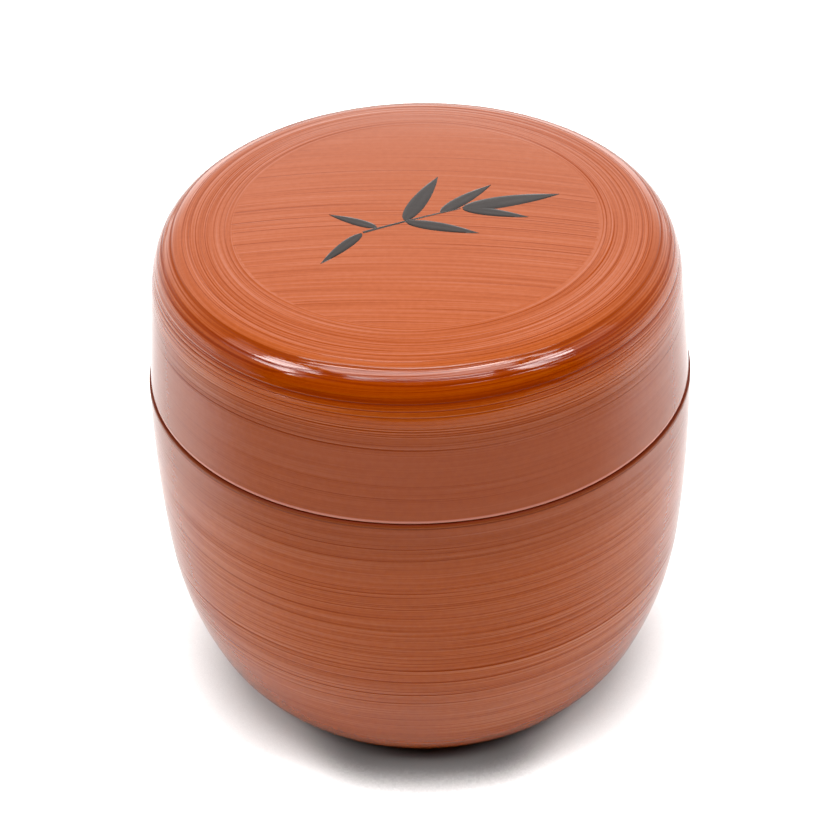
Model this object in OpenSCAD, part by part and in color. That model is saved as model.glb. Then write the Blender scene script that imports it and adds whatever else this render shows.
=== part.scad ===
// Tea caddy of lacquered wood: a cup-shaped body with an upright lip, and a lid that slips over the lip
// and closes level with the wall. The origin is the middle of the foot, on the surface it stands on.

/* [Body] */
// Outer radius of the body where the lid meets it
body_r = 33; // [28:0.5:38]
// Height of the body, from the foot to the seam under the lid
body_h = 43.2; // [37:0.2:56]
// Thickness of the finished wall, lacquer included
wall_t = 3.2; // [3:0.1:4]
// Thickness of the finished floor, above the recess under it
floor_t = 2.8; // [2:0.1:3.6]
// Radius of the belly curve
belly_r = 42; // [36:0.5:48]
// Radius of the heel curve, which turns under to the foot
heel_r = 18.7; // [15:0.1:22]
// Lean of the wall just under the seam, in degrees
rim_lean = 0.2; // [0.1:0.1:1.5]
// Lean of the wall where the belly curve starts, in degrees
belly_lean = 6.7; // [5.5:0.1:9]
// Lean of the wall where the heel curve starts, in degrees
heel_lean = 26.9; // [24:0.1:30]
// Lean of the wall where it reaches the foot, in degrees
foot_lean = 57; // [52:0.5:62]

/* [Foot] */
// Radius of the edge between the heel and the foot
foot_round = 0.6; // [0.4:0.1:1]
// Width of the ring that the caddy stands on
ring_w = 3; // [2:0.1:5]
// Depth of the recess inside that ring
recess_h = 1; // [0.8:0.1:1.6]

/* [Lip] */
// Height of the lip above the seam
lip_h = 9; // [6:0.5:12]
// Thickness of the finished lip
lip_t = 1.4; // [1.2:0.1:1.6]
// Radius of the two edges along the top of the lip
lip_round = 0.5; // [0.3:0.05:0.55]
// Radial clearance between the lip and the lid
lid_fit = 0.08; // [0.04:0.01:0.1]

/* [Lid] */
// Height of the lid, from the seam to the middle of the crown
lid_h = 21.8; // [20:0.2:26]
// How far the lid's lower edge stands in from the edge of the body
lid_step = 0.22; // [0:0.02:0.5]
// Thickness of the lid at the middle of the crown
lid_t = 2.4; // [1.8:0.1:3.2]
// Radius of the hollow's corner, inside the lid
hollow_round = 5; // [4:0.2:7]
// Radius of the soft curve under the shoulder
shoulder_r = 13.6; // [11:0.2:17]
// Radius of the curve over the shoulder, into the crown
crown_edge_r = 4.4; // [3.4:0.1:5.2]
// Lean of the lid's wall at its lower edge, in degrees
lid_lean = 2.8; // [2.2:0.1:3.2]
// Lean of the lid's wall where the shoulder starts, in degrees
shoulder_lean = 4.1; // [3.6:0.1:5]
// Lean where the shoulder turns over, in degrees
turn_lean = 20; // [16:0.5:24]
// Lean where the crown starts, in degrees
crown_lean = 82; // [80:0.5:84]
// Travel that lifts the lid clear of the lip
lid_lift = 40; // [20:1:60]

/* [Lacquer] */
// Thickness of a coat of lacquer with its ground
coat_t = 0.2; // [0.1:0.02:0.26]
// Radius of the edges on both sides of the seam
edge_round = 0.3; // [0.28:0.02:0.34]
// Height of the painted spray above the crown
motif_t = 0.06; // [0.04:0.01:0.1]
// Length of the longest leaf of the spray
leaf_l = 12.5; // [9:0.5:15]
// Width of the longest leaf
leaf_w = 2.5; // [1.6:0.1:3]
// Width of the stems
stem_w = 0.42; // [0.3:0.02:0.6]
// Bare lacquer between the side of the twig and each leaf
leaf_gap = 0.1; // [0.06:0.02:0.2]

/* [Hidden] */
vermilion = "#b35a34";
black_lacquer = "#1b1716";
turned_wood = "#b98f62";
ink_lacquer = "#3d3936";
// Facets around the axis
round_fn = 144;
// Largest deviation of an outline's chords from its arcs
chord_sag = 0.004;
// Widest step along an outline's arcs, in degrees
arc_step = 6;

// Heights and radii that follow from the sizes above
seam_z = body_h;
lip_top = seam_z + lip_h;
crown_z = seam_z + lid_h;
floor_z = recess_h + floor_t;
lid_r = body_r - lid_step;

// The wall's own curve takes up the height that the belly, heel and edges leave
wall_r = (body_h - edge_round * (1 + sin(rim_lean)) - belly_r * (sin(heel_lean) - sin(belly_lean))
          - heel_r * (sin(foot_lean) - sin(heel_lean)) - foot_round * (1 - sin(foot_lean)))
         / (sin(belly_lean) - sin(rim_lean));

// An arc is [radius, first angle, last angle]; the angles are those of the outward normal above the level.
// The body's outline runs from the seam down to the foot, and the lid's from its lower edge up to the crown.
seam_start = [body_r - edge_round, seam_z];
body_arcs = [[edge_round, 90, -rim_lean], [wall_r, -rim_lean, -belly_lean],
             [belly_r, -belly_lean, -heel_lean], [heel_r, -heel_lean, -foot_lean],
             [foot_round, -foot_lean, -90]];
foot_r = arc_end(seam_start, body_arcs, len(body_arcs) - 1)[0];
ring_in = foot_r - ring_w;

// The lid's side curve is the one that brings the crown to its height
over_h = shoulder_r * (sin(turn_lean) - sin(shoulder_lean)) + crown_edge_r * (sin(crown_lean) - sin(turn_lean));
over_w = shoulder_r * (cos(shoulder_lean) - cos(turn_lean)) + crown_edge_r * (cos(turn_lean) - cos(crown_lean));
edge_r = lid_r - edge_round * (1 - cos(lid_lean));
dome_rise = (1 - sin(crown_lean)) / cos(crown_lean);
side_r = (lid_h - edge_round * (1 + sin(lid_lean)) - over_h - (edge_r - over_w) * dome_rise)
         / (sin(shoulder_lean) - sin(lid_lean) - (cos(lid_lean) - cos(shoulder_lean)) * dome_rise);
crown_r = (edge_r - over_w - side_r * (cos(lid_lean) - cos(shoulder_lean))) / cos(crown_lean);
lid_start = [lid_r - edge_round, seam_z];
lid_arcs = [[edge_round, -90, lid_lean], [side_r, lid_lean, shoulder_lean],
            [shoulder_r, shoulder_lean, turn_lean], [crown_edge_r, turn_lean, crown_lean],
            [crown_r, crown_lean, 90]];

// The inside of the body keeps the wall's thickness as far as this lean, then a fillet meets the floor
inner_turn = 35;
wall_start = arc_end(seam_start, body_arcs, 0);
wall_arcs = [body_arcs[1], body_arcs[2], [heel_r, -heel_lean, -inner_turn]];
turn_point = arc_end(wall_start, wall_arcs, 2) - wall_t * dir(-inner_turn);
fillet_r = (turn_point[1] - floor_z) / (1 - sin(inner_turn));
fillet_c = turn_point - fillet_r * dir(-inner_turn);
bore_r = wall_start[0] - wall_t * cos(rim_lean);
lip_r = bore_r + lip_t;

// The lid's hollow: a straight socket for the lip, a rounded corner, and a ceiling that follows the crown
socket_r = lip_r + lid_fit;
ceiling_r = crown_r - lid_t;
ceiling_c = [0, crown_z - crown_r];
corner_turn = acos((socket_r - hollow_round) / (ceiling_r - hollow_round));
corner_c = ceiling_c + (ceiling_r - hollow_round) * dir(corner_turn);

// The painted spray: leaves along a twig, each [place along it, direction, share of the longest leaf]
SPRAY = [[0, -152, 0.62], [0.16, 128, 0.55], [0.42, 46, 0.86], [0.42, -38, 0.74],
         [0.78, 24, 0.72], [1, -4, 1], [1, -33, 0.66]];
// Where the twig starts on the crown, its direction and its length
spray_from = leaf_l * [-0.5, -0.27];
spray_turn = 21;
twig_l = leaf_l;
// From the middle of the twig to the start of each leaf
stroke_gap = stem_w / 2 + leaf_gap;
// Share of a leaf's length where it is widest
leaf_full = 5 / 14;
leaf_steps = 12;

// The unit vector at an angle above the level
function dir(a) = [cos(a), sin(a)];

// The step along an arc that keeps its chords within chord_sag
function fine_step(r) = min(arc_step, 2 * acos(1 - chord_sag / max(r, 2 * chord_sag)));

// Points along an arc about c, without its first point when skip is 1
function arc(c, r, a, b, skip = 0) =
    let (n = max(1, ceil(abs(b - a) / fine_step(r))))
    [for (i = [skip:n]) c + r * dir(a + (b - a) * i / n)];

// The point where arc i of a tangent chain from p ends
function arc_end(p, arcs, i) =
    (i == 0 ? p : arc_end(p, arcs, i - 1)) + arcs[i][0] * (dir(arcs[i][2]) - dir(arcs[i][1]));

// Points along a tangent chain of arcs from p, at a depth below it
function chain(p, arcs, depth, i = 0) =
    i == len(arcs) ? [] :
    let (c = p - arcs[i][0] * dir(arcs[i][1]))
    concat(arc(c, arcs[i][0] - depth, arcs[i][1], arcs[i][2], i == 0 ? 0 : 1),
           chain(c + arcs[i][0] * dir(arcs[i][2]), arcs, depth, i + 1));

function reversed(points) = [for (i = [len(points) - 1:-1:0]) points[i]];

// The outside of the body, from the shoulder down to the foot, at a depth below the finished surface
function body_outside(depth) = chain(seam_start, body_arcs, depth);

// The underside, from the foot's edge to the axis: the ring, the step and the recess
function underside(depth) =
    let (step_r = recess_h / 2)
    concat([[foot_r, depth]],
           arc([ring_in + step_r, step_r], step_r - depth, -90, -180),
           arc([ring_in - step_r, recess_h - step_r], step_r + depth, 0, 90, 1),
           [[0, recess_h + depth]]);

// The inside of the body, from the axis over the floor, wall and lip to the shoulder
function body_inside(depth) =
    concat([[0, floor_z - depth]],
           arc(fillet_c, fillet_r + depth, -90, -inner_turn),
           reversed(chain(wall_start, wall_arcs, wall_t - depth)),
           arc([bore_r + lip_round, lip_top - lip_round], lip_round - depth, 180, 90),
           arc([lip_r - lip_round, lip_top - lip_round], lip_round - depth, 90, 0),
           [[lip_r - depth, seam_z - depth], [seam_start[0], seam_z - depth]]);

// The outside of the lid, from its lower edge up to the middle of the crown
function lid_outside(depth) = chain(lid_start, lid_arcs, depth);

// The inside of the lid, from the middle of its ceiling down to the lower edge
function lid_inside(depth) =
    concat(arc(ceiling_c, ceiling_r + depth, 90, corner_turn),
           arc(corner_c, hollow_round + depth, corner_turn, 0, 1),
           arc([socket_r + edge_round, seam_z + edge_round], edge_round - depth, 180, 270),
           [[lid_start[0], seam_z + depth]]);

// Drops points that repeat the one before them
function tidy(points) = [for (i = [0:len(points) - 1])
    if (norm(points[i] - points[(i + len(points) - 1) % len(points)]) > 0.0005) points[i]];

module turned(points) {
    rotate_extrude($fn = round_fn) polygon(tidy(points));
}

// A coat lies between the finished surface and the same path one coat deeper
module coat(surface, core) {
    turned(concat(surface, reversed(core)));
}

// The turned wooden cup, with its lip in one piece
module body_core() {
    color(turned_wood)
        turned(concat(body_outside(coat_t), underside(coat_t), body_inside(coat_t)));
}

// The brushed lacquer on the body's outside
module body_outer_lacquer() {
    color(vermilion) coat(body_outside(0), body_outside(coat_t));
}

// The black lacquer of the hollow, the lip and the shoulder that the lid rests on
module body_inner_lacquer() {
    color(black_lacquer) coat(body_inside(0), body_inside(coat_t));
}

// The black lacquer under the foot
module underside_lacquer() {
    color(black_lacquer) coat(underside(0), underside(coat_t));
}

// The turned wooden lid
module lid_core() {
    color(turned_wood) turned(concat(lid_outside(coat_t), lid_inside(coat_t)));
}

// The brushed lacquer on the lid's outside
module lid_outer_lacquer() {
    color(vermilion) coat(lid_outside(0), lid_outside(coat_t));
}

// The black lacquer inside the lid and under its lower edge
module lid_inner_lacquer() {
    color(black_lacquer) coat(lid_inside(0), lid_inside(coat_t));
}

// The shape of a bamboo leaf at a share t of its length: full near the stem, with a long fine tip
function leaf_half(t) = sqrt(t) * pow(1 - t, 0.9) / (sqrt(leaf_full) * pow(1 - leaf_full, 0.9));

// A leaf is one stroke of the brush: it starts stroke_gap from the origin and grows along +X
module leaf(length, width) {
    upper = [for (i = [1:leaf_steps - 1]) let (t = i / leaf_steps) [t * length, leaf_half(t) * width / 2]];
    lower = [for (p = reversed(upper)) [p[0], -p[1]]];
    translate([stroke_gap, 0]) polygon(concat([[0, 0]], upper, [[length, 0]], lower));
}

// A straight tapering twig from the origin along +X
module twig(length, width) {
    polygon([[0, -width / 2], [length, -width / 5], [length, width / 5], [0, width / 2]]);
}

// The twig and the leaves along it, each a stroke of its own
module spray_outline() {
    translate(spray_from) rotate(spray_turn) {
        twig(twig_l, stem_w);
        for (s = SPRAY) translate([s[0] * twig_l, 0]) rotate(s[1]) leaf(leaf_l * s[2], leaf_w * s[2]);
    }
}

// The painted spray: a film on the crown with the spray's outline
module lid_motif() {
    color(ink_lacquer) intersection() {
        coat(arc(ceiling_c, crown_r + motif_t, 90, crown_lean), arc(ceiling_c, crown_r, 90, crown_lean));
        translate([0, 0, crown_z - lid_t]) linear_extrude(2 * lid_t) spray_outline();
    }
}

body_core();
body_outer_lacquer();
body_inner_lacquer();
underside_lacquer();
lid_core();
lid_outer_lacquer();
lid_inner_lacquer();
lid_motif();
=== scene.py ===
"""Tea caddy: the looks of a lacquered natsume on a pale table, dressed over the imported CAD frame."""
import math

import bmesh
import bpy
from mathutils import Matrix, Vector, noise


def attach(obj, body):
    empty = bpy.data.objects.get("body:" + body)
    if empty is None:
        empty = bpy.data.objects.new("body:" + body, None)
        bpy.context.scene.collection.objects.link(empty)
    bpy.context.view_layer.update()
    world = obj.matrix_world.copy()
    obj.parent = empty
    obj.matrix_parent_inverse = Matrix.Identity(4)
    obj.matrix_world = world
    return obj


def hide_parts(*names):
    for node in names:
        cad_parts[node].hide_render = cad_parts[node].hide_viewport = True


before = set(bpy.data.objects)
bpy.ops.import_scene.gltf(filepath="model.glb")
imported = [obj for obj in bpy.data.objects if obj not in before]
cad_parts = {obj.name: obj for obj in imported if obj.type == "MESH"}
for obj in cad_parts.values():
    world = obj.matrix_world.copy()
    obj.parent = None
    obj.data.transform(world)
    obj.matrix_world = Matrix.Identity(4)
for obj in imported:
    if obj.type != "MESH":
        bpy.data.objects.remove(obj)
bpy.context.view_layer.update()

# The scene is in metres, and the sizes below are in millimetres; the paths in the UV maps are in decimetres
MM = 0.001
MM_PER_DM = 100.0

# ---------------------------------------------------------------------------------------------
# Sizes, in millimetres and degrees, as the construction has them
# ---------------------------------------------------------------------------------------------
BODY_R, BODY_H, WALL_T, FLOOR_T = 33.0, 43.2, 3.2, 2.8
BELLY_R, HEEL_R = 42.0, 18.7
RIM_LEAN, BELLY_LEAN, HEEL_LEAN, FOOT_LEAN = 0.2, 6.7, 26.9, 57.0
FOOT_ROUND, RING_W, RECESS_H = 0.6, 3.0, 1.0
LIP_H, LIP_T, LIP_ROUND, LID_FIT = 9.0, 1.4, 0.5, 0.08
LID_H, LID_STEP, LID_T, HOLLOW_ROUND = 21.8, 0.22, 2.4, 5.0
SHOULDER_R, CROWN_EDGE_R = 13.6, 4.4
LID_LEAN, SHOULDER_LEAN, TURN_LEAN, CROWN_LEAN = 2.8, 4.1, 20.0, 82.0
COAT_T, EDGE_ROUND, MOTIF_T = 0.2, 0.3, 0.06
INNER_TURN = 35.0
SEAM_Z = BODY_H
LIP_TOP = SEAM_Z + LIP_H
CROWN_Z = SEAM_Z + LID_H
FLOOR_Z = RECESS_H + FLOOR_T
LID_R = BODY_R - LID_STEP

# How finely the turned surfaces are cut: faces round the axis, rows along the brushed outlines, along the
# black ones, along the foot's and along the hidden backs, in millimetres, and the widest step in degrees
COLUMNS = 360
ROW_STEP, BLACK_STEP, FOOT_STEP, PLAIN_STEP = 0.42, 0.6, 0.3, 1.2
ARC_STEP = 7.0
# A row of points nearer the axis than this is one point on it
AXIS_R = 0.001
# Angles between faces, in degrees, over which an edge stays sharp
SHARP_COAT, SHARP_STROKE = 50, 60


def dsin(a):
    return math.sin(math.radians(a))


def dcos(a):
    return math.cos(math.radians(a))


def point_at(centre, radius, angle):
    """The point of a circle at an angle in degrees."""
    return (centre[0] + radius * dcos(angle), centre[1] + radius * dsin(angle))


def arc_end(start, arcs, index):
    """The point where arc number index of a tangent chain from start ends."""
    r, z = start
    for radius, first, last in arcs[:index + 1]:
        r += radius * (dcos(last) - dcos(first))
        z += radius * (dsin(last) - dsin(first))
    return (r, z)


def arc(centre, radius, first, last, step):
    """Points (r, z, normal angle) along an arc; the angle is the outward normal's above the level."""
    length = abs(math.radians(last - first)) * abs(radius)
    n = max(1, math.ceil(length / step), math.ceil(abs(last - first) / ARC_STEP))
    angles = [first + (last - first) * i / n for i in range(n + 1)]
    return [(*point_at(centre, radius, a), a) for a in angles]


def chain(start, arcs, depth, step):
    """Points along a tangent chain of arcs from start, at a depth below it."""
    points, (r, z) = [], start
    for radius, first, last in arcs:
        centre = point_at((r, z), -radius, first)
        points += arc(centre, radius - depth, first, last, step)[1 if points else 0:]
        r, z = point_at(centre, radius, last)
    return points


# ---------------------------------------------------------------------------------------------
# The outlines, with the same arcs as the construction
# ---------------------------------------------------------------------------------------------
WALL_R = ((BODY_H - EDGE_ROUND * (1 + dsin(RIM_LEAN)) - BELLY_R * (dsin(HEEL_LEAN) - dsin(BELLY_LEAN))
           - HEEL_R * (dsin(FOOT_LEAN) - dsin(HEEL_LEAN)) - FOOT_ROUND * (1 - dsin(FOOT_LEAN)))
          / (dsin(BELLY_LEAN) - dsin(RIM_LEAN)))
SEAM_START = (BODY_R - EDGE_ROUND, SEAM_Z)
BODY_ARCS = [(EDGE_ROUND, 90, -RIM_LEAN), (WALL_R, -RIM_LEAN, -BELLY_LEAN),
             (BELLY_R, -BELLY_LEAN, -HEEL_LEAN), (HEEL_R, -HEEL_LEAN, -FOOT_LEAN),
             (FOOT_ROUND, -FOOT_LEAN, -90)]
FOOT_R = arc_end(SEAM_START, BODY_ARCS, 4)[0]
RING_IN = FOOT_R - RING_W

OVER_H = (SHOULDER_R * (dsin(TURN_LEAN) - dsin(SHOULDER_LEAN))
          + CROWN_EDGE_R * (dsin(CROWN_LEAN) - dsin(TURN_LEAN)))
OVER_W = (SHOULDER_R * (dcos(SHOULDER_LEAN) - dcos(TURN_LEAN))
          + CROWN_EDGE_R * (dcos(TURN_LEAN) - dcos(CROWN_LEAN)))
EDGE_R = LID_R - EDGE_ROUND * (1 - dcos(LID_LEAN))
DOME_RISE = (1 - dsin(CROWN_LEAN)) / dcos(CROWN_LEAN)
SIDE_R = ((LID_H - EDGE_ROUND * (1 + dsin(LID_LEAN)) - OVER_H - (EDGE_R - OVER_W) * DOME_RISE)
          / (dsin(SHOULDER_LEAN) - dsin(LID_LEAN) - (dcos(LID_LEAN) - dcos(SHOULDER_LEAN)) * DOME_RISE))
CROWN_R = (EDGE_R - OVER_W - SIDE_R * (dcos(LID_LEAN) - dcos(SHOULDER_LEAN))) / dcos(CROWN_LEAN)
LID_START = (LID_R - EDGE_ROUND, SEAM_Z)
LID_ARCS = [(EDGE_ROUND, -90, LID_LEAN), (SIDE_R, LID_LEAN, SHOULDER_LEAN),
            (SHOULDER_R, SHOULDER_LEAN, TURN_LEAN), (CROWN_EDGE_R, TURN_LEAN, CROWN_LEAN),
            (CROWN_R, CROWN_LEAN, 90)]

WALL_START = arc_end(SEAM_START, BODY_ARCS, 0)
WALL_ARCS = [BODY_ARCS[1], BODY_ARCS[2], (HEEL_R, -HEEL_LEAN, -INNER_TURN)]
TURN_POINT = point_at(arc_end(WALL_START, WALL_ARCS, 2), -WALL_T, -INNER_TURN)
FILLET_R = (TURN_POINT[1] - FLOOR_Z) / (1 - dsin(INNER_TURN))
FILLET_C = point_at(TURN_POINT, -FILLET_R, -INNER_TURN)
BORE_R = WALL_START[0] - WALL_T * dcos(RIM_LEAN)
LIP_R = BORE_R + LIP_T
SOCKET_R = LIP_R + LID_FIT
CEILING_R = CROWN_R - LID_T
CROWN_C = (0.0, CROWN_Z - CROWN_R)
CORNER_TURN = math.degrees(math.acos((SOCKET_R - HOLLOW_ROUND) / (CEILING_R - HOLLOW_ROUND)))
CORNER_C = point_at(CROWN_C, CEILING_R - HOLLOW_ROUND, CORNER_TURN)


def body_outside(depth, step=PLAIN_STEP):
    """From the seam down to the foot's edge."""
    return chain(SEAM_START, BODY_ARCS, depth, step)


def lid_outside(depth, step=PLAIN_STEP):
    """From the lid's lower edge up to the middle of the crown."""
    return chain(LID_START, LID_ARCS, depth, step)


def underside(depth, step=PLAIN_STEP):
    """From the foot's edge over the ring and the step to the middle of the recess."""
    half = RECESS_H / 2
    flat = [(FOOT_R - (RING_W - RECESS_H) * i / 3, depth, -90) for i in range(3)]
    rise = arc((RING_IN + half, half), half - depth, -90, -180, step)
    turn = [(r, z, a - 180) for r, z, a in arc((RING_IN - half, half), half + depth, 0, 90, step)]
    return flat + rise + turn[1:] + [(RING_IN / 2, RECESS_H + depth, -90), (0.0, RECESS_H + depth, -90)]


def body_inside(depth, step=PLAIN_STEP):
    """From the middle of the floor over the wall and the lip to the shoulder at the seam."""
    floor = [(FILLET_C[0] * i / 4, FLOOR_Z - depth, 90) for i in range(4)]
    fillet = arc(FILLET_C, FILLET_R + depth, -90, -INNER_TURN, step)
    wall = chain(WALL_START, WALL_ARCS, WALL_T - depth, step)[::-1]
    inner = [(r, z, a + 180) for r, z, a in fillet + wall]
    lip = (arc((BORE_R + LIP_ROUND, LIP_TOP - LIP_ROUND), LIP_ROUND - depth, 180, 90, step)
           + arc((LIP_R - LIP_ROUND, LIP_TOP - LIP_ROUND), LIP_ROUND - depth, 90, 0, step))
    ledge = [(LIP_R - depth, SEAM_Z - depth, 45), (SEAM_START[0], SEAM_Z - depth, 90)]
    return floor + inner + lip + ledge


def lid_inside(depth, step=PLAIN_STEP):
    """From the middle of the ceiling down the hollow to the lid's lower edge."""
    ceiling = arc(CROWN_C, CEILING_R + depth, 90, CORNER_TURN, step)
    corner = arc(CORNER_C, HOLLOW_ROUND + depth, CORNER_TURN, 0, step)
    edge = arc((SOCKET_R + EDGE_ROUND, SEAM_Z + EDGE_ROUND), EDGE_ROUND - depth, 180, 270, step)
    hollow = [(r, z, a - 180) for r, z, a in ceiling + corner[1:]]
    return hollow + edge + [(LID_START[0], SEAM_Z + depth, -90)]


# ---------------------------------------------------------------------------------------------
# Turned meshes
# ---------------------------------------------------------------------------------------------
def turned(name, surface, back, relief=None):
    """A closed coat: the surface path and the path behind it, turned round the axis.

    relief(path, angle) is how far the surface lies below its outline, in millimetres. The UV map
    "turn" holds the share of a turn and the length along the path in decimetres.
    """
    path, lengths = 0.0, []
    for i, p in enumerate(surface):
        if i:
            path += math.dist(p[:2], surface[i - 1][:2])
        lengths.append(path)
    rows = [(p, length, True) for p, length in zip(surface, lengths)]
    scale = path / max(1, len(back) - 1)
    rows += [(p, path - i * scale, False) for i, p in enumerate(reversed(back))]
    bm = bmesh.new()
    uv = bm.loops.layers.uv.new("turn")
    made = []
    for (r, z, lean), length, outer in rows:
        if r < AXIS_R:
            drop = relief(length, 0.0) if outer and relief else 0.0
            made.append([bm.verts.new((0.0, 0.0, (z - drop * dsin(lean)) * MM))])
            continue
        ring = []
        for k in range(COLUMNS):
            turn = 2 * math.pi * k / COLUMNS
            drop = relief(length, turn) if outer and relief else 0.0
            rr, zz = r - drop * dcos(lean), z - drop * dsin(lean)
            ring.append(bm.verts.new((rr * math.cos(turn) * MM, rr * math.sin(turn) * MM, zz * MM)))
        made.append(ring)
    n = len(made)
    for i in range(n):
        a, b = made[i], made[(i + 1) % n]
        va, vb = rows[i][1] / MM_PER_DM, rows[(i + 1) % n][1] / MM_PER_DM
        if len(a) == 1 and len(b) == 1:
            continue
        for k in range(COLUMNS):
            m = (k + 1) % COLUMNS
            u, w = k / COLUMNS, (k + 1) / COLUMNS
            if len(a) == 1:
                corners = [(a[0], (u + w) / 2, va), (b[m], w, vb), (b[k], u, vb)]
            elif len(b) == 1:
                corners = [(a[k], u, va), (a[m], w, va), (b[0], (u + w) / 2, vb)]
            else:
                corners = [(a[k], u, va), (a[m], w, va), (b[m], w, vb), (b[k], u, vb)]
            face = bm.faces.new([c[0] for c in corners])
            face.smooth = True
            for loop, corner in zip(face.loops, corners):
                loop[uv].uv = corner[1:]
    bmesh.ops.recalc_face_normals(bm, faces=bm.faces)
    return finish_mesh(name, bm, SHARP_COAT)


def finish_mesh(name, bm, sharp):
    """An object of the finished mesh, smooth but for the edges over the angle sharp."""
    mesh = bpy.data.meshes.new(name)
    bm.to_mesh(mesh)
    bm.free()
    mesh.set_sharp_from_angle(angle=math.radians(sharp))
    obj = bpy.data.objects.new(name, mesh)
    bpy.context.scene.collection.objects.link(obj)
    return obj


# ---------------------------------------------------------------------------------------------
# Relief of the brushed coats: low waves round the axis; the fine strokes are in the material
# ---------------------------------------------------------------------------------------------
WAVE_DEPTH, WAVE_PITCH = 0.007, 2.2
# How much of the noise one turn passes through, how strongly it is used, and the place of each coat in it
WAVE_TURN, WAVE_GAIN, BODY_SEED, LID_SEED = 0.6, 0.8, 3.7, 8.2


def waves(path, turn, seed):
    """How far the coat lies below its outline: it changes across the strokes and slowly along them."""
    place = Vector((WAVE_TURN * math.cos(turn) + seed, WAVE_TURN * math.sin(turn), path / WAVE_PITCH))
    return WAVE_DEPTH * min(1.0, max(0.0, 0.5 + WAVE_GAIN * noise.noise(place)))


def body_relief(path, turn):
    return waves(path, turn, BODY_SEED)


def lid_relief(path, turn):
    return waves(path, turn, LID_SEED)


# ---------------------------------------------------------------------------------------------
# Node graphs
# ---------------------------------------------------------------------------------------------
class Graph:
    """Short names for building a node tree."""

    def __init__(self, tree):
        self.tree = tree
        tree.nodes.clear()

    def node(self, kind, **settings):
        made = self.tree.nodes.new("ShaderNode" + kind)
        for key, value in settings.items():
            setattr(made, key, value)
        return made

    def put(self, socket, value):
        """Links a socket into an input, or sets the input to a number or colour."""
        if isinstance(value, bpy.types.NodeSocket):
            self.tree.links.new(value, socket)
        elif value is not None:
            socket.default_value = value

    def math(self, operation, a, b=None, c=None, clamp=False):
        made = self.node("Math", operation=operation, use_clamp=clamp)
        for socket, value in zip(made.inputs, (a, b, c)):
            self.put(socket, value)
        return made.outputs[0]

    def total(self, *values):
        result = values[0]
        for value in values[1:]:
            result = self.math("ADD", result, value)
        return result

    def product(self, *values):
        result = values[0]
        for value in values[1:]:
            result = self.math("MULTIPLY", result, value)
        return result

    def vector(self, x, y, z):
        made = self.node("CombineXYZ")
        for socket, value in zip(made.inputs, (x, y, z)):
            self.put(socket, value)
        return made.outputs[0]

    def split(self, vector):
        """The x, y and z of a vector."""
        made = self.node("SeparateXYZ")
        self.put(made.inputs[0], vector)
        return made.outputs

    def step(self, value, low, high, to_low=0.0, to_high=1.0):
        """A smooth step of value from low to high."""
        made = self.node("MapRange", interpolation_type="SMOOTHSTEP")
        for socket, v in zip(made.inputs, (value, low, high, to_low, to_high)):
            self.put(socket, v)
        return made.outputs[0]

    def grain(self, vector, scale=1.0, detail=0.0):
        """Smooth noise from 0 to 1."""
        made = self.node("TexNoise")
        for key, value in (("Vector", vector), ("Scale", scale), ("Detail", detail),
                           ("Roughness", 0.5), ("Distortion", 0.0)):
            self.put(made.inputs[key], value)
        return made.outputs[0]

    def centred(self, value):
        return self.math("SUBTRACT", value, 0.5)

    def objects_place(self):
        """The place in the object, which is the place in the scene at rest, in metres."""
        return self.node("TexCoord").outputs["Object"]

    def turn_place(self):
        """Where on a turned coat: cosine and sine of the turn, and the path along its outline in mm."""
        u, v, _ = self.split(self.node("UVMap", uv_map="turn").outputs[0])
        angle = self.product(u, 2 * math.pi)
        return self.math("COSINE", angle), self.math("SINE", angle), self.product(v, MM_PER_DM)

    def radius(self, x, y):
        return self.math("SQRT", self.total(self.product(x, x), self.product(y, y)))

    def weighted(self, parts, weights):
        """The sum of parts, each times its weight; a weight of 0 leaves a part out."""
        return self.total(*(self.product(part, weight) for part, weight in zip(parts, weights) if weight))

    def mix(self, factor, a, b, blend="MIX"):
        """Colour a at a factor of 0, and b at 1."""
        made = self.node("Mix", data_type="RGBA", blend_type=blend)
        for socket, value in zip((made.inputs[0], made.inputs[6], made.inputs[7]), (factor, a, b)):
            self.put(socket, value)
        return made.outputs[2]

    def tint(self, factor, colour, by):
        """The colour, multiplied by another as far as the factor says."""
        return self.mix(factor, colour, by, "MULTIPLY")

    def bump(self, height, distance):
        """The normal over a relief of that height, times distance in metres."""
        made = self.node("Bump")
        self.put(made.inputs["Height"], height)
        self.put(made.inputs["Distance"], distance)
        self.put(made.inputs["Strength"], 1.0)
        return made.outputs[0]

    def surface(self, colour, roughness, normal=None, ior=1.5):
        """The material's shader, linked to its output."""
        shader = self.node("BsdfPrincipled")
        self.put(shader.inputs["Base Color"], colour)
        self.put(shader.inputs["Roughness"], roughness)
        self.put(shader.inputs["IOR"], ior)
        if normal is not None:
            self.put(shader.inputs["Normal"], normal)
        out = self.node("OutputMaterial")
        self.put(out.inputs["Surface"], shader.outputs[0])
        return shader


def new_material(name):
    """A material and the graph of its empty node tree."""
    material = bpy.data.materials.new(name)
    material.use_nodes = True
    return material, Graph(material.node_tree)


def thin_line(g, value, at, half):
    """1 on a line where the value is at, falling to 0 at a distance of half from it."""
    return g.step(g.math("ABSOLUTE", g.math("SUBTRACT", value, at)), half, 0.0)


# ---------------------------------------------------------------------------------------------
# Materials
# ---------------------------------------------------------------------------------------------
# Colours of the brushed lacquer, from its lines up to its ridges
VERMILION_DEEP = (0.207, 0.029, 0.001, 1)
VERMILION = (0.288, 0.052, 0.004, 1)
VERMILION_PALE = (0.342, 0.081, 0.014, 1)
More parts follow.
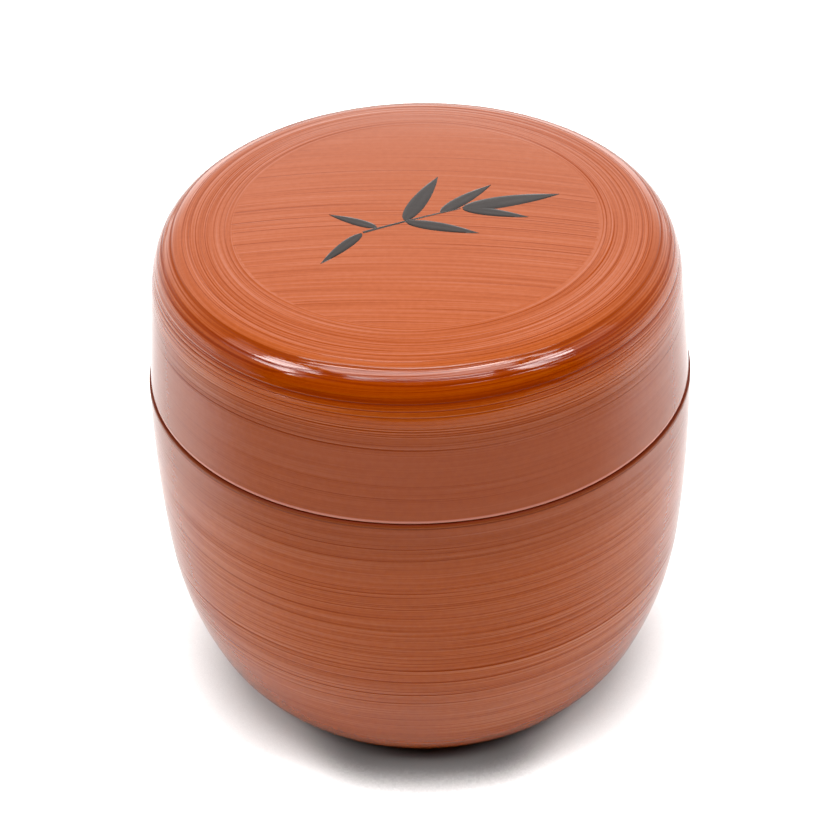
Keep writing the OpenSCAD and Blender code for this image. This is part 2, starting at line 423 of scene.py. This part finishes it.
# What they are multiplied by, as painted light and shade: a paler painted sheen on the crown, painted shade
# on the lid's wall and at the body's rim towards the seam, and painted shade in the band under the lid's
# shoulder
CROWN_SHEEN = (0.98, 1.12, 2.6, 1)
LID_WALL_SHADE = (0.82, 0.80, 1.0, 1)
BODY_RIM_SHADE = (0.82, 0.80, 0.9, 1)
SHOULDER_BAND_SHADE = (0.76, 0.55, 0.0, 1)
# Painted shadow of the lid's edge on the body's rounded rim, a painted highlight on the lid's lower edge,
# and dark red where the two lacquers meet, darkened with painted shade in the groove
RIM_SHADOW = (0.13, 0.024, 0.003, 1)
LID_EDGE_HIGHLIGHT = (0.47, 0.17, 0.115, 1)
GROOVE_SHADE = (0.085, 0.008, 0.000, 1)
# The other materials, each from its darker to its paler part
BLACK = (0.006, 0.005, 0.005, 1), (0.020, 0.014, 0.011, 1)
WOOD = (0.36, 0.20, 0.09, 1), (0.66, 0.46, 0.27, 1)
INK = (0.009, 0.005, 0.004, 1), (0.024, 0.016, 0.013, 1)

# Roughness of the brushed lacquer, its index of refraction and the limits of that, and depths of relief
GLOSS = 0.07, 0.13
INDEX, INDEX_LEAST, INDEX_MOST = 1.47, 1.12, 1.72
STROKE_DEPTH, BLACK_DEPTH, FIBRE_DEPTH, INK_DEPTH = 0.014 * MM, 0.006 * MM, 0.02 * MM, 0.012 * MM
# The mottle of the brushed lacquer, the rings (in millimetres) and clouds of the black one
MOTTLE_SCALE, MOTTLE, BLACK_RINGS, BLACK_CLOUDS = 1400.0, 0.45, 0.6, 90.0

# Where parts of the look begin and where they are full, in metres: heights of the crown's lines and rings
# and of its painted sheen, and radii of the painted groove shade on the black lacquer
TOP_FROM, CROWN_SHEEN_FROM, GROOVE_SHADE_FROM = (0.058, 0.060), (0.0615, 0.0625), (0.0321, 0.0324)
# The same as paths from the seam, in millimetres: painted shade on the lid's wall, painted highlight on its
# lower edge, painted shade at the body's rim, painted shadow on its edge, painted groove shade there, and
# the middle and half width of the thin line under it
LID_WALL_SHADE_FROM, EDGE_HIGHLIGHT_FROM, BODY_RIM_SHADE_FROM = (14.0, 11.0), (0.80, 0.48), (11.0, 1.5)
RIM_SHADOW_FROM, SEAM_FROM, SEAM_LINE = (0.56, 0.36), (0.34, 0.16), (0.66, 0.17)
# The painted shade in the band under the lid's shoulder: its lower and upper edge as paths, and its fading
# at the sides as y
BAND_LOW, BAND_HIGH, BAND_SIDES = (14.5, 16.8), (21.0, 19.8), (-10.0, -25.0)
# The shoulder's stretch of deeper relief: its lower and upper edge as paths
RELIEF_LOW, RELIEF_HIGH = (12.5, 15.5), (24.0, 22.5)
# Mirror and roughness of the body's rim under the painted shadow
RIM_SHADOW_MIRROR, RIM_SHADOW_ROUGH = 0.06, 0.3

# How far the strokes round the axis wander, and how much of a deep one shows where it is faintest
WANDER, DEEP_LEAST = 1.3, 0.35
# The strokes across the crown's disc: how they turn and bend, the length over which they bend more towards
# the back, and the radius at which they end, which wobbles
DISC_TURN, DISC_BEND, DISC_SPREAD, DISC_EDGE, DISC_WOBBLE = 0.075, 0.00125, 25.0, (22.6, 22.1), 0.8
# Layers of noise along the strokes round the axis: [size of a turn in the noise, width, place in the noise]
TURN_LAYERS = [(0.7, 1.4, 0.0), (0.8, 0.40, 5.0), (1.1, 0.16, 9.0)]
# The same across the crown's disc: [length, width, place in the noise]
DISC_LAYERS = [(34, 1.6, 2.0), (26, 0.42, 4.0), (18, 0.17, 6.0)]
# Fine lines at random places, wide ones and thin ones: [pitch, half width, place in the noise]
TURN_HAIRLINES = [(0.95, 0.10, 3.0), (0.42, 0.07, 50.0)]
DISC_HAIRLINES = [(1.5, 0.13, 7.0), (0.5, 0.08, 90.0)]
# What the layers (broad, fine, hair) and then the pairs of furrow and ridge (wide, thin and, round the axis,
# deep) add to the tone of the colour, to the relief and to the index of refraction, called polish here
TURN_TONE = (0.2, 0.75, 1.9, -1.7, 0.5, -1.5, 0.4, -2.2, 0.7)
TURN_HEIGHT = (0.5, 0.7, 0, -0.5, 0.2, 0, 0, -0.8, 0.3)
TURN_POLISH = (0, 0.20, 0.60, -0.36, 0, -0.30, 0, -0.45, 0.10)
DISC_TONE = (0.3, 1.4, 1.0, -2.4, 0.4, -1.3, 0.3)
DISC_HEIGHT = (0.4, 0.8, 0, -1.0, 0, -0.4, 0)
DISC_POLISH = (0, 0.18, 0.16, -0.18, 0, -0.10, 0)
RING_TONE, RING_HEIGHT, RING_POLISH = -1.6, -0.6, -0.14
SHOULDER_RELIEF = 2.4

# Deeper strokes round the axis: [path from the seam, half width, strength]
BODY_STROKES = [(5.2, 0.11, 0.35), (9.7, 0.12, 0.85), (10.9, 0.10, 0.3), (14.2, 0.14, 0.6),
                (17.6, 0.10, 0.35), (19.3, 0.15, 0.6), (21.0, 0.11, 0.5), (22.8, 0.22, 1.1),
                (24.7, 0.13, 0.6), (26.5, 0.12, 0.6), (27.1, 0.16, 0.9), (28.9, 0.13, 0.6),
                (32.8, 0.16, 0.5)]
LID_STROKES = [(3.5, 0.13, 0.7), (5.2, 0.10, 0.5), (10.2, 0.14, 0.7), (12.7, 0.09, 0.8), (13.1, 0.09, 0.8),
               (14.6, 0.10, 0.7), (15.4, 0.12, 0.9), (16.3, 0.12, 0.7)]
# Near the seam the strokes are calmer: (path up to which they are, path of full strength, share of it)
BODY_CALM, LID_CALM = (2.0, 24.0, 0.60), (8.0, 13.0, 0.32)
# Rings round the crown's disc: [radius, half width, strength]
CROWN_RINGS = [(22.85, 0.12, 0.6), (23.4, 0.10, 0.35), (24.1, 0.10, 0.35), (24.6, 0.10, 0.4),
               (25.2, 0.11, 0.6), (25.8, 0.10, 0.4), (26.4, 0.10, 0.35), (27.2, 0.15, 0.8),
               (28.0, 0.12, 0.7), (29.35, 0.24, 2.4), (29.8, 0.12, 0.5), (30.5, 0.17, 1.3),
               (30.95, 0.12, 0.7), (31.8, 0.15, 0.9)]


def hairlines(g, across, along, pitch, half, seed):
    """Fine lines at random places of the coordinate across, each a dark furrow with a pale lower side.

    along is a pair of coordinates that a line fades and returns with. Gives [furrow, ridge], 0 to 1.
    """
    cell = g.node("TexVoronoi", voronoi_dimensions="1D")
    at = g.math("MULTIPLY_ADD", across, 1 / pitch, seed)
    g.put(cell.inputs["W"], at)
    g.put(cell.inputs["Scale"], 1.0)
    off = g.product(g.math("SUBTRACT", at, cell.outputs["W"]), pitch)
    # Each line has its own place in the noise that it fades with, and its own strength
    kind, other, _ = g.split(cell.outputs["Color"])
    fade = g.grain(g.vector(g.total(along[0], g.product(kind, 31.0)), along[1], g.product(other, 17.0)))
    strength = g.product(g.step(fade, 0.38, 0.62), g.step(kind, 0.15, 0.95, 0.15, 1.0))
    return [g.product(thin_line(g, off, 0.0, half), strength),
            g.product(thin_line(g, off, 1.6 * half, 1.2 * half), strength)]


def turning_lines(g, deep_strokes, calm_below, calm_above, calm):
    """Brush strokes round the axis: ([tone, height, polish], path along the outline).

    The strokes are weaker by the factor calm where the path is short of calm_below, and full past
    calm_above. All of them wander up and down a little, along with a slow noise.
    """
    c, s, straight = g.turn_place()
    wander = g.centred(g.grain(g.vector(g.product(c, 0.8), g.product(s, 0.8), g.product(straight, 0.10))))
    path = g.total(straight, g.product(wander, WANDER))

    def layer(along, across, shift):
        return g.centred(g.grain(g.vector(g.total(g.product(c, along), shift), g.product(s, along),
                                          g.product(path, 1 / across))))

    parts = [layer(*sizes) for sizes in TURN_LAYERS]
    along = (g.product(c, 1.1), g.product(s, 1.1))
    for sizes in TURN_HAIRLINES:
        parts += hairlines(g, path, along, *sizes)
    fade = g.step(layer(1.2, 3.0, 21.0), -0.20, 0.12, DEEP_LEAST, 1.0)
    furrow, ridge = 0.0, 0.0
    for at, half, strength in deep_strokes:
        furrow = g.total(furrow, g.product(thin_line(g, path, at, half), strength))
        ridge = g.total(ridge, g.product(thin_line(g, path, at + 1.5 * half, half), strength))
    parts += [g.product(furrow, fade), g.product(ridge, fade)]
    force = g.step(straight, calm_below, calm_above, calm, 1.0)
    return [g.product(g.weighted(parts, weights), force)
            for weights in (TURN_TONE, TURN_HEIGHT, TURN_POLISH)], straight


def crown_lines(g, x, y, z, radius):
    """Strokes straight across the crown's disc, fanning out a little: ([tone, height, polish], disc)."""
    fan = g.product(x, x, DISC_BEND, g.total(g.product(y, 1 / DISC_SPREAD), 1.0))
    across = g.total(y, g.product(x, DISC_TURN), fan)

    def layer(length, width, shift):
        return g.centred(g.grain(g.vector(g.total(g.product(x, 1 / length), shift),
                                          g.product(across, 1 / width), shift)))

    parts = [layer(*sizes) for sizes in DISC_LAYERS]
    for sizes in DISC_HAIRLINES:
        parts += hairlines(g, across, (g.product(x, 1 / 26), 0.0), *sizes)
    # The strokes are fainter in the middle and towards the back
    ends = g.step(g.math("ABSOLUTE", x), 3.0, 19.0, 0.75, 1.0)
    force = g.product(ends, g.step(y, 15.0, 2.0, 0.45, 1.0))
    wobble = g.grain(g.vector(g.product(across, 1.6), 0.0, 3.0))
    edge = g.total(radius, g.product(wobble, DISC_WOBBLE))
    disc = g.product(g.step(edge, *DISC_EDGE), g.step(z, *TOP_FROM))
    return [g.product(g.weighted(parts, weights), force)
            for weights in (DISC_TONE, DISC_HEIGHT, DISC_POLISH)], disc


def lid_lines(g, x, y, z):
    """The strokes of the whole lid: ([tone, height, polish], path along the outline)."""
    around, path = turning_lines(g, LID_STROKES, *LID_CALM)
    radius = g.radius(x, y)
    straight, disc = crown_lines(g, x, y, z, radius)
    # Deeper relief over the shoulder, where it breaks the light into thin lines
    shoulder = g.product(g.step(path, *RELIEF_LOW), g.step(path, *RELIEF_HIGH))
    around[1] = g.product(around[1], g.total(1.0, g.product(shoulder, SHOULDER_RELIEF)))
    # The rings stand a little further in at the very front
    radius = g.total(radius, g.product(g.step(y, -25.0, -28.5), 0.4))
    rings = 0.0
    for at, half, deep in CROWN_RINGS:
        rings = g.total(rings, g.product(thin_line(g, radius, at, half), deep))
    rings = g.product(rings, g.step(z, *TOP_FROM))
    beside = g.math("SUBTRACT", 1.0, disc)
    return [g.total(g.product(a, beside), g.product(b, disc), g.product(rings, weight))
            for a, b, weight in zip(around, straight, (RING_TONE, RING_HEIGHT, RING_POLISH))], path


def lid_colour(g, colour, path, y, z):
    """The lid's painted light and shade: a paler sheen on the crown, shade in the band under the shoulder,
    shade on the wall towards the seam and a highlight on the lower edge.
    """
    # Painted sheen: the crown is paler and less red than the wall
    colour = g.tint(g.step(z, *CROWN_SHEEN_FROM), colour, CROWN_SHEEN)
    # Painted shade in the band under the shoulder, deepest at the front
    band = g.product(g.step(path, *BAND_LOW), g.step(path, *BAND_HIGH), g.step(y, *BAND_SIDES))
    colour = g.tint(band, colour, SHOULDER_BAND_SHADE)
    # Painted shade on the lid's wall towards the seam
    colour = g.tint(g.step(path, *LID_WALL_SHADE_FROM), colour, LID_WALL_SHADE)
    # Painted highlight on the lid's rounded lower edge
    return g.mix(g.step(path, *EDGE_HIGHLIGHT_FROM), colour, LID_EDGE_HIGHLIGHT)


def brushed_lacquer(name, is_lid):
    """Vermilion-brown lacquer whose brush strokes run round the wall, and straight across the crown."""
    material, g = new_material(name)
    place = g.objects_place()
    if is_lid:
        x, y, z = g.split(place)
        x, y = g.product(x, 1 / MM), g.product(y, 1 / MM)
        (tone, height, polish), path = lid_lines(g, x, y, z)
    else:
        (tone, height, polish), path = turning_lines(g, BODY_STROKES, *BODY_CALM)
    mottle = g.grain(place, MOTTLE_SCALE, 1.0)
    tone = g.total(tone, g.product(g.centred(mottle), MOTTLE))
    shade = g.product(g.math("MULTIPLY_ADD", tone, 0.5, 0.5, clamp=True), 2.0)
    colour = g.mix(shade, VERMILION_DEEP, VERMILION)
    colour = g.mix(g.math("SUBTRACT", shade, 1.0, clamp=True), colour, VERMILION_PALE)
    rough, mirror = g.step(mottle, 0.3, 0.75, *GLOSS), 0.5
    if is_lid:
        colour = lid_colour(g, colour, path, y, z)
    else:
        # The seam: painted shade on the body towards its rim; painted shadow of the lid's edge on the
        # rounded rim, which is duller, with a thin dark line under it; and painted shade in the groove,
        # darkest where it meets the black lacquer
        colour = g.tint(g.step(path, *BODY_RIM_SHADE_FROM), colour, BODY_RIM_SHADE)
        edge = g.math("MAXIMUM", g.step(path, *RIM_SHADOW_FROM), thin_line(g, path, *SEAM_LINE))
        colour = g.mix(edge, colour, RIM_SHADOW)
        colour = g.mix(g.step(path, *SEAM_FROM), colour, GROOVE_SHADE)
        mirror = g.step(edge, 0.0, 1.0, mirror, RIM_SHADOW_MIRROR)
        rough = g.total(rough, g.product(edge, RIM_SHADOW_ROUGH))
    index = g.math("MINIMUM", g.math("MAXIMUM", g.total(polish, INDEX), INDEX_LEAST), INDEX_MOST)
    shader = g.surface(colour, rough, g.bump(height, STROKE_DEPTH), index)
    g.put(shader.inputs["Specular IOR Level"], mirror)
    return material


def black_lacquer():
    """Polished black lacquer with faint rings and clouds, dark red with painted shade in the groove where it
    meets the vermilion.
    """
    material, g = new_material("black_lacquer_look")
    c, s, path = g.turn_place()
    place = g.objects_place()
    rings = g.grain(g.vector(c, s, g.product(path, 1 / BLACK_RINGS)), 1.0, 2.0)
    cloud = g.grain(place, BLACK_CLOUDS, 3.0)
    x, y, _ = g.split(place)
    # Painted shade in the groove: dark red near the rim of the black ledge
    colour = g.mix(g.step(g.radius(x, y), *GROOVE_SHADE_FROM), g.mix(cloud, *BLACK), GROOVE_SHADE)
    g.surface(colour, g.step(cloud, 0.3, 0.7, 0.10, 0.17), g.bump(g.total(rings, cloud), BLACK_DEPTH))
    return material


def turned_wood():
    """Bare turned wood: bowed year rings and fine fibres along the grain."""
    material, g = new_material("turned_wood_look")
    place = g.objects_place()
    x, y, z = g.split(place)
    across = g.total(g.product(x, 900.0), g.product(g.grain(place, 40.0, 2.0), 3.0))
    rings = g.math("SINE", g.total(across, g.product(g.math("SINE", g.product(y, 60.0)), 0.8)))
    fibre = g.grain(g.vector(g.product(x, 4000.0), g.product(y, 160.0), g.product(z, 4000.0)), 1.0, 2.0)
    factor = g.math("MULTIPLY_ADD", g.total(g.product(rings, 0.5), fibre), 0.5, 0.2, clamp=True)
    g.surface(g.mix(factor, *WOOD), g.step(fibre, 0.2, 0.8, 0.45, 0.65), g.bump(fibre, FIBRE_DEPTH))
    return material


def ink_lacquer():
    """The dark lacquer of the painting, with streaks of the brush along each leaf."""
    material, g = new_material("ink_lacquer_look")
    u, v, _ = g.split(g.node("UVMap", uv_map="stroke").outputs[0])
    streak = g.grain(g.vector(g.product(u, 3.0), g.product(v, 9.0), 0.0), 1.0, 2.0)
    both = g.total(streak, g.grain(g.objects_place(), 700.0, 3.0))
    factor = g.math("MULTIPLY_ADD", both, 0.9, -0.4, clamp=True)
    g.surface(g.mix(factor, *INK), g.step(streak, 0.3, 0.7, 0.14, 0.26), g.bump(both, INK_DEPTH))
    return material


# ---------------------------------------------------------------------------------------------
# The painted spray of bamboo on the crown
# ---------------------------------------------------------------------------------------------
# Each leaf: place along the twig, direction from it, share of the longest leaf
SPRAY = [(0, -152, 0.62), (0.16, 128, 0.55), (0.42, 46, 0.86), (0.42, -38, 0.74),
         (0.78, 24, 0.72), (1, -4, 1), (1, -33, 0.66)]
LEAF_L, LEAF_W, STEM_W, STEM_TAPER = 12.5, 2.5, 0.42, 0.3
SPRAY_FROM, SPRAY_TURN = (-0.5 * LEAF_L, -0.27 * LEAF_L), 21.0
# A leaf starts a little beside the twig's middle, and is widest at LEAF_FULL of its length
STROKE_GAP = STEM_W / 2 + 0.1
LEAF_FULL, LEAF_TAPER, LEAF_TIPS = 5 / 14, 0.9, (0.004, 0.995)
# How far a stroke's film stands over the crown and reaches under it, its least half width, and the share of
# the half width that the groove along its middle takes
FILM, SINK, LEAST_HALF, GROOVE_W = MOTIF_T * 0.97, 0.03, 0.012, 0.12


def leaf_half(t):
    """The half width of a leaf at a share t of its length, 1 where it is widest."""
    t = min(LEAF_TIPS[1], max(LEAF_TIPS[0], t))
    return math.sqrt(t / LEAF_FULL) * ((1 - t) / (1 - LEAF_FULL)) ** LEAF_TAPER


def crown_height(x, y):
    """How high the crown stands at a point of it."""
    return CROWN_C[1] + math.sqrt(CROWN_R ** 2 - x * x - y * y)


def stroke(bm, uv, start, turn, length, half_width, rows=28, across=9, ridge=0.35):
    """One stroke of the brush as a closed domed film on the crown.

    half_width(t) is its half width at a share t of its length; ridge is how deep the groove along its
    middle is, as a share of the film. The UV map "stroke" holds the shares of its length and width.
    """
    ahead = (dcos(turn), dsin(turn))
    side = (-ahead[1], ahead[0])
    grid = {}
    for top in (True, False):
        for i in range(rows + 1):
            t = i / rows
            half = max(half_width(t), LEAST_HALF)
            for j in range(across + 1):
                w = 2 * j / across - 1
                x = start[0] + ahead[0] * t * length + side[0] * w * half
                y = start[1] + ahead[1] * t * length + side[1] * w * half
                dome = max(0.0, 1 - w * w) ** 0.25
                groove = 1 - ridge * math.exp(-(w / GROOVE_W) ** 2)
                z = crown_height(x, y) + (FILM * dome * groove if top else -SINK)
                grid[top, i, j] = (bm.verts.new((x * MM, y * MM, z * MM)), (t, w / 2 + 0.5))
    cells = []
    for top in (True, False):
        for i in range(rows):
            for j in range(across):
                cells.append([grid[top, a, b] for a, b in ((i, j), (i + 1, j), (i + 1, j + 1), (i, j + 1))])
    for i in range(rows):
        for j in (0, across):
            cells.append([grid[True, i, j], grid[True, i + 1, j], grid[False, i + 1, j], grid[False, i, j]])
    for j in range(across):
        for i in (0, rows):
            cells.append([grid[True, i, j], grid[True, i, j + 1], grid[False, i, j + 1], grid[False, i, j]])
    for cell in cells:
        face = bm.faces.new([corner[0] for corner in cell])
        face.smooth = True
        for loop, corner in zip(face.loops, cell):
            loop[uv].uv = corner[1]


def bamboo_spray():
    """A thin twig with its leaves, each one stroke."""
    bm = bmesh.new()
    uv = bm.loops.layers.uv.new("stroke")
    stroke(bm, uv, SPRAY_FROM, SPRAY_TURN, LEAF_L, lambda t: STEM_W * (0.5 - STEM_TAPER * t), ridge=0.0)
    for place, turn, share in SPRAY:
        heading = SPRAY_TURN + turn
        start = point_at(point_at(SPRAY_FROM, place * LEAF_L, SPRAY_TURN), STROKE_GAP, heading)
        stroke(bm, uv, start, heading, LEAF_L * share - STROKE_GAP,
               lambda t: LEAF_W * share / 2 * leaf_half(t))
    bmesh.ops.recalc_face_normals(bm, faces=bm.faces)
    return finish_mesh("painted_spray", bm, SHARP_STROKE)


# ---------------------------------------------------------------------------------------------
# Pieces
# ---------------------------------------------------------------------------------------------
def dress():
    """Builds the coats and the spray, and gives every piece its material."""
    vermilion_body = brushed_lacquer("brushed_lacquer_body", False)
    vermilion_lid = brushed_lacquer("brushed_lacquer_lid", True)
    black, wood, ink = black_lacquer(), turned_wood(), ink_lacquer()
    pieces = [
        (turned("body_outer_coat", body_outside(0, ROW_STEP), body_outside(COAT_T), body_relief),
         "caddy_body", "body_outer_lacquer", "brushed_lacquer", vermilion_body),
        (turned("lid_outer_coat", lid_outside(0, ROW_STEP), lid_outside(COAT_T), lid_relief),
         "caddy_lid", "lid_outer_lacquer", "brushed_lacquer", vermilion_lid),
        (turned("body_inner_coat", body_inside(0, BLACK_STEP), body_inside(COAT_T)),
         "caddy_body", "body_inner_lacquer", "black_lacquer", black),
        (turned("lid_inner_coat", lid_inside(0, BLACK_STEP), lid_inside(COAT_T)),
         "caddy_lid", "lid_inner_lacquer", "black_lacquer", black),
        (turned("foot_coat", underside(0, FOOT_STEP), underside(COAT_T)),
         "caddy_body", "underside_lacquer", "black_lacquer", black),
        (bamboo_spray(), "caddy_lid", "lid_motif", "ink_lacquer", ink),
    ]
    for piece, body, node, slot, material in pieces:
        piece.data.materials.append(material)
        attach(piece, body)
        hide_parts(node)
    for node in ("body_core", "lid_core"):
        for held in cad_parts[node].material_slots:
            held.material = wood


# ---------------------------------------------------------------------------------------------
# Table, light and camera
# ---------------------------------------------------------------------------------------------
# The table's edges, in metres; it ends a little in front of the caddy
FLOOR_FRONT, FLOOR_SIDE, FLOOR_BACK = -0.195, 1.2, 1.6
# How light the table is, towards its front edge and further back, where painted shade greys it: where it
# lights the caddy, where it is seen and where it is mirrored; and the y between which the first two and the
# last of these change
TABLE_LIT, TABLE_SEEN, TABLE_MIRRORED = (0.58, 0.80), (1.10, 1.50), (0.37, 0.83)
SEEN_CHANGE, MIRRORED_CHANGE = (-0.075, -0.035), (-0.055, 0.015)
# The shadow at the foot: how far it reaches, and the distances beside the middle between which its front
# turns into its flanks; then for front and flanks how open the place is where it is deepest, how open where
# it ends, and its deepest shade
CONTACT_REACH, FLANK_FROM = 0.036, (0.006, 0.021)
SHADOW_DEEPEST, SHADOW_END, SHADOW_SHADE = (0.41, 0.20), (0.75, 1.00), (0.10, 0.31)
# The mirrored table under the foot, darkened as painted shadow: the radii between which its shade changes,
# and the shades
UNDER_FOOT = (0.020, 0.034, 0.30, 1.0)
CONTACT_SAMPLES, TABLE_ROUGH = 16, 0.9


def table_top():
    """A pale table that ends a little in front of the caddy, greyer there with painted shade, and with a
    painted shadow at the foot.
    """
    bm = bmesh.new()
    corners = [(-FLOOR_SIDE, FLOOR_FRONT), (FLOOR_SIDE, FLOOR_FRONT), (FLOOR_SIDE, FLOOR_BACK),
               (-FLOOR_SIDE, FLOOR_BACK)]
    bm.faces.new([bm.verts.new((x, y, 0.0)) for x, y in corners])
    table = finish_mesh("table_top", bm, SHARP_COAT)
    material, g = new_material("pale_table")
    x, y, _ = g.split(g.objects_place())
    rays = g.node("LightPath").outputs
    seen = rays["Is Camera Ray"]
    mirrored = g.math("MAXIMUM", rays["Is Glossy Ray"], rays["Is Transmission Ray"])
    others = g.math("SUBTRACT", g.math("SUBTRACT", 1.0, seen), mirrored)
    contact = g.node("AmbientOcclusion", samples=CONTACT_SAMPLES)
    g.put(contact.inputs["Distance"], CONTACT_REACH)
    flank = g.step(g.math("ABSOLUTE", x), *FLANK_FROM)
    limits = [g.step(flank, 0.0, 1.0, *pair) for pair in (SHADOW_DEEPEST, SHADOW_END, SHADOW_SHADE)]
    shadow = g.step(contact.outputs["AO"], *limits, 1.0)
    under = g.step(g.radius(x, y), *UNDER_FOOT)
    shade = g.total(g.product(seen, g.step(y, *SEEN_CHANGE, *TABLE_SEEN), shadow),
                    g.product(mirrored, g.step(y, *MIRRORED_CHANGE, *TABLE_MIRRORED), under),
                    g.product(others, g.step(y, *SEEN_CHANGE, *TABLE_LIT)))
    g.surface(g.vector(shade, shade, shade), TABLE_ROUGH)
    table.data.materials.append(material)


# The height that the lamps face, in metres
LAMP_AIM = 0.04


def from_angles(azimuth, elevation, distance):
    """A lamp's place from its direction and distance; an azimuth of -90 is in front."""
    x, y = point_at((0.0, 0.0), distance * dcos(elevation), azimuth)
    return (x, y, LAMP_AIM + distance * dsin(elevation))


# The lamps: name, centre, width and height in metres, strength
LAMPS = [
    ("overhead_softbox", (0.0, -0.068, 0.80), (0.80, 0.100), 12.0),
    ("overhead_front", (0.0, -0.217, 0.80), (0.74, 0.194), 5.5),
    ("front_softbox", from_angles(-90, 56.0, 0.8), (0.68, 0.085), 10.5),
    ("left_lamp", from_angles(-156.5, 41, 0.8), (0.24, 0.34), 12.8),
    ("right_lamp", from_angles(-29, 44, 0.8), (0.26, 0.33), 14.2),
    ("left_glow", from_angles(-163, 38, 0.9), (0.60, 0.36), 1.3),
    ("right_glow", from_angles(-15, 38, 0.9), (0.60, 0.36), 0.95),
]


def softbox(name, centre, size, strength):
    """A rectangular lamp at centre that faces the caddy; strength 1 shines as bright as white."""
    data = bpy.data.lights.new(name, "AREA")
    data.shape = "RECTANGLE"
    data.size, data.size_y = size
    data.energy = strength * math.pi * size[0] * size[1]
    lamp = bpy.data.objects.new(name, data)
    lamp.location = centre
    lamp.rotation_euler = (Vector((0, 0, LAMP_AIM)) - Vector(centre)).to_track_quat("-Z", "Y").to_euler()
    lamp.visible_camera = False
    bpy.context.scene.collection.objects.link(lamp)


# How bright the parts of the room are: the wall behind from its top down, the glow low in it, the sides and
# the ceiling
WALL_LIGHT, GLOW_LIGHT, SIDES_LIGHT, CEILING_LIGHT = (0.55, 1.1), 1.6, 0.5, 0.35


def studio():
    """A dark room in front, a white wall behind, a white ground for the camera, and the lamps."""
    world = bpy.data.worlds.new("studio")
    bpy.context.scene.world = world
    world.use_nodes = True
    g = Graph(world.node_tree)
    # Directions: x to the right, y away from the camera, z up
    x, y, z = g.split(g.node("TexCoord").outputs["Generated"])
    wall = g.product(g.step(y, 0.0, 0.75), g.step(z, 1.0, 0.55, *WALL_LIGHT))
    glow = g.product(g.step(y, 0.6, 0.98), g.step(g.math("ABSOLUTE", z), 0.42, 0.05), GLOW_LIGHT)
    sides = g.product(g.step(g.math("ABSOLUTE", x), 0.55, 0.95), g.step(y, -0.45, -0.1), SIDES_LIGHT)
    ceiling = g.product(g.step(z, 0.75, 0.95), g.step(y, -0.2, 0.1), CEILING_LIGHT)
    room, white = g.node("Background"), g.node("Background")
    for background in (room, white):
        g.put(background.inputs["Color"], (1, 1, 1, 1))
    g.put(room.inputs["Strength"], g.math("MAXIMUM", g.total(wall, glow), g.total(sides, ceiling)))
    g.put(white.inputs["Strength"], 1.0)
    mixed = g.node("MixShader")
    for socket, value in zip(mixed.inputs, (g.node("LightPath").outputs["Is Camera Ray"],
                                            room.outputs[0], white.outputs[0])):
        g.put(socket, value)
    out = g.node("OutputWorld")
    g.put(out.inputs["Surface"], mixed.outputs[0])
    for lamp in LAMPS:
        softbox(*lamp)


# Downward tilt and roll of the camera in degrees, its distance in metres, its focal length and sensor in
# millimetres, the point it aims at, and the distances between which it sees
CAMERA_TILT, CAMERA_ROLL, CAMERA_FAR, CAMERA_LENS, CAMERA_SENSOR = 35.502, -1.714, 0.600, 209.14, 36.0
CAMERA_AIM_X, CAMERA_AIM_Z = -0.000162, 0.034855
CAMERA_NEAREST, CAMERA_FARTHEST = 0.05, 20.0


def camera():
    """The scene's camera, which looks along +y and down, and is rolled a little."""
    data = bpy.data.cameras.new("camera")
    data.sensor_width, data.sensor_fit = CAMERA_SENSOR, "AUTO"
    data.lens = CAMERA_LENS
    data.clip_start, data.clip_end = CAMERA_NEAREST, CAMERA_FARTHEST
    cam = bpy.data.objects.new("camera", data)
    ahead = Vector((0, dcos(CAMERA_TILT), -dsin(CAMERA_TILT)))
    up = Vector((0, dsin(CAMERA_TILT), dcos(CAMERA_TILT)))
    right = Vector((1, 0, 0))
    axis_x = dcos(CAMERA_ROLL) * right + dsin(CAMERA_ROLL) * up
    axis_y = -dsin(CAMERA_ROLL) * right + dcos(CAMERA_ROLL) * up
    turn = Matrix((axis_x, axis_y, -ahead)).transposed().to_4x4()
    place = Vector((CAMERA_AIM_X, 0, CAMERA_AIM_Z)) - CAMERA_FAR * ahead
    cam.matrix_world = Matrix.Translation(place) @ turn
    bpy.context.scene.collection.objects.link(cam)
    bpy.context.scene.camera = cam


dress()
table_top()
studio()
camera()
bpy.context.scene.view_settings.view_transform = "Standard"
